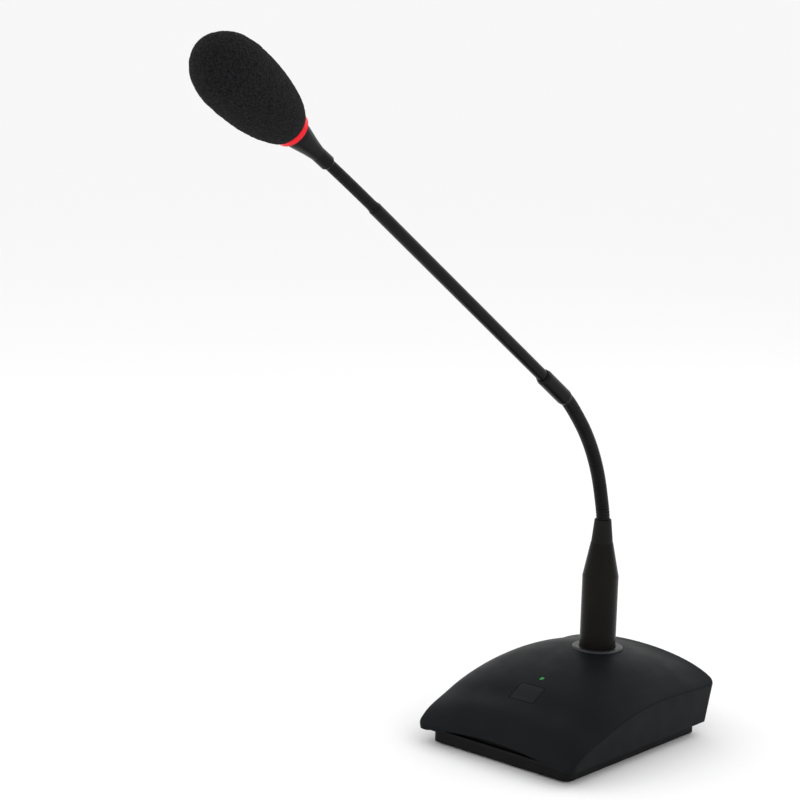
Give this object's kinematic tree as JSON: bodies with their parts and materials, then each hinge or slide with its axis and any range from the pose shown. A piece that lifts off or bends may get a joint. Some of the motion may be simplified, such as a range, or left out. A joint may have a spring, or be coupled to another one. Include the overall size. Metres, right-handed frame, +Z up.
{
  "type": "gooseneck podium microphone",
  "caption": "Desk-standing gooseneck microphone: crowned weighted base with a flush talk button, plug-in bent neck with rigid tube, light ring and foam-covered head.",
  "frame": {"origin": "on the resting plane, on the axis of the plug that stands in the base", "axes": "+Z up, -Y to the front, where the neck leans and the talker sits, +X to the right seen from the front"},
  "size_m": [0.1044, 0.3315, 0.3633],
  "materials": {
    "mat_rubber": "fine ribbed",
    "tray_plastic": "fine grain",
    "cover_plastic": "fine grain, matte",
    "zinc_steel": "zinc plated",
    "board_laminate": "solder mask",
    "chip_resin": "moulded",
    "connector_plastic": "moulded",
    "clear_lens": "clear, lit green",
    "button_plastic": "fine grain",
    "switch_plastic": "moulded",
    "lead_jacket": "smooth",
    "jack_plastic": "moulded",
    "nickel": "nickel plated",
    "bezel_metal": "satin",
    "contact_brass": "bright",
    "plug_metal": "semi-gloss black",
    "insulator": "moulded",
    "boot_rubber": "smooth",
    "neck_steel": "black, wound",
    "tube_metal": "semi-gloss black",
    "ring_plastic": "lit red",
    "led_resin": "moulded",
    "capsule_metal": "satin",
    "holder_rubber": "smooth",
    "grille_steel": "black, pierced",
    "foam": "open-cell foam"
  },
  "bodies": {
    "base": {"non_slip_mat": "mat_rubber", "bottom_tray": "tray_plastic", "ballast_plate": "zinc_steel", "ballast_screws": "zinc_steel", "cover_screws": "zinc_steel", "top_cover": "cover_plastic", "board_spacers": "contact_brass", "circuit_board": "board_laminate", "board_screws": "zinc_steel", "board_chips": "chip_resin", "board_connector": "connector_plastic", "button_board": "board_laminate", "button_board_screws": "zinc_steel", "tact_switch": "switch_plastic", "status_led": "led_resin", "light_pipe": "clear_lens", "signal_lead": "lead_jacket", "output_jack": "jack_plastic", "jack_washer": "nickel", "jack_nut": "nickel", "socket_bezel": "bezel_metal", "socket_shell": "insulator", "socket_insert": "insulator", "socket_contacts": "contact_brass"},
    "button": {"talk_button": "button_plastic", "switch_plunger": "switch_plastic"},
    "plug": {"plug_barrel": "plug_metal", "plug_insert": "insulator", "plug_pins": "contact_brass", "plug_cone": "plug_metal", "strain_boot": "boot_rubber", "lower_neck_root": "neck_steel"},
    "neck_link_1": {"lower_neck_link_1": "neck_steel"},
    "neck_link_2": {"lower_neck_link_2": "neck_steel"},
    "neck_link_3": {"lower_neck_link_3": "neck_steel"},
    "neck_link_4": {"lower_neck_link_4": "neck_steel"},
    "neck_link_5": {"lower_neck_link_5": "neck_steel"},
    "neck_link_6": {"lower_neck_link_6": "neck_steel"},
    "tube": {"lower_collar": "tube_metal", "rigid_tube": "tube_metal", "microphone_lead": "lead_jacket", "upper_neck_root": "neck_steel"},
    "thin_link_1": {"upper_neck_link_1": "neck_steel"},
    "thin_link_2": {"upper_neck_link_2": "neck_steel"},
    "thin_link_3": {"upper_neck_link_3": "neck_steel"},
    "head": {"head_sleeve": "tube_metal", "light_ring": "ring_plastic", "ring_board": "board_laminate", "ring_leds": "led_resin", "capsule_housing": "tube_metal", "capsule_holder": "holder_rubber", "capsule": "capsule_metal", "capsule_grille": "grille_steel"},
    "foam": {"windscreen": "foam"}
  },
  "joints": [
    {"name": "talk_button_press", "type": "slide", "parent": "base", "child": "button", "axis": [0, -0.4067, 0.9135], "range_m": [-0.0008, 0], "stiffness_N_per_m": 600},
    {"name": "plug_pull", "type": "slide", "parent": "base", "child": "plug", "axis": [0, 0, 1], "range_m": [0, 0.025]},
    {"name": "neck_bend", "type": "hinge", "parent": "plug", "child": "neck_link_1", "pos_m": [0, 0, 0.1128], "axis": [1, 0, 0], "range_deg": [-12, 12]},
    {"name": "neck_sway", "type": "hinge", "parent": "neck_link_1", "child": "neck_link_2", "pos_m": [0, -0.00266, 0.12531], "axis": [0, 0.9688, 0.248], "range_deg": [-12, 12]},
    {"name": "neck_bend_2", "type": "hinge", "parent": "neck_link_2", "child": "neck_link_3", "pos_m": [0, -0.00637, 0.13768], "axis": [1, 0, 0], "range_deg": [-12, 12]},
    {"name": "neck_sway_2", "type": "hinge", "parent": "neck_link_3", "child": "neck_link_4", "pos_m": [0, -0.01161, 0.14948], "axis": [0, 0.8868, 0.4622], "range_deg": [-12, 12]},
    {"name": "neck_bend_3", "type": "hinge", "parent": "neck_link_4", "child": "neck_link_5", "pos_m": [0, -0.01828, 0.16053], "axis": [1, 0, 0], "range_deg": [-12, 12]},
    {"name": "neck_sway_3", "type": "hinge", "parent": "neck_link_5", "child": "neck_link_6", "pos_m": [0, -0.02629, 0.17065], "axis": [0, 0.7551, 0.6557], "range_deg": [-12, 12]},
    {"name": "neck_bend_4", "type": "hinge", "parent": "neck_link_6", "child": "tube", "pos_m": [0, -0.03524, 0.18005], "axis": [1, 0, 0], "range_deg": [-12, 12]},
    {"name": "head_nod", "type": "hinge", "parent": "tube", "child": "thin_link_1", "pos_m": [0, -0.18538, 0.28675], "axis": [1, 0, 0], "range_deg": [-15, 15]},
    {"name": "head_turn", "type": "hinge", "parent": "thin_link_1", "child": "thin_link_2", "pos_m": [0, -0.19472, 0.29329], "axis": [0, 0.5707, 0.8211], "range_deg": [-15, 15]},
    {"name": "head_nod_2", "type": "hinge", "parent": "thin_link_2", "child": "thin_link_3", "pos_m": [0, -0.2041, 0.29976], "axis": [1, 0, 0], "range_deg": [-15, 15]},
    {"name": "head_turn_2", "type": "hinge", "parent": "thin_link_3", "child": "head", "pos_m": [0, -0.21353, 0.30617], "axis": [0, 0.5592, 0.829], "range_deg": [-15, 15]},
    {"name": "windscreen_pull", "type": "slide", "parent": "head", "child": "foam", "axis": [0, -0.831, 0.5563], "range_m": [0, 0.03]}
  ],
  "couplings": [
    {"joint": "neck_bend_2", "follows": "neck_bend", "ratio": 1},
    {"joint": "neck_sway_2", "follows": "neck_sway", "ratio": 1},
    {"joint": "neck_bend_3", "follows": "neck_bend", "ratio": 1},
    {"joint": "neck_sway_3", "follows": "neck_sway", "ratio": 1},
    {"joint": "neck_bend_4", "follows": "neck_bend", "ratio": 1},
    {"joint": "head_nod_2", "follows": "head_nod", "ratio": 1},
    {"joint": "head_turn_2", "follows": "head_turn", "ratio": 1}
  ]
}
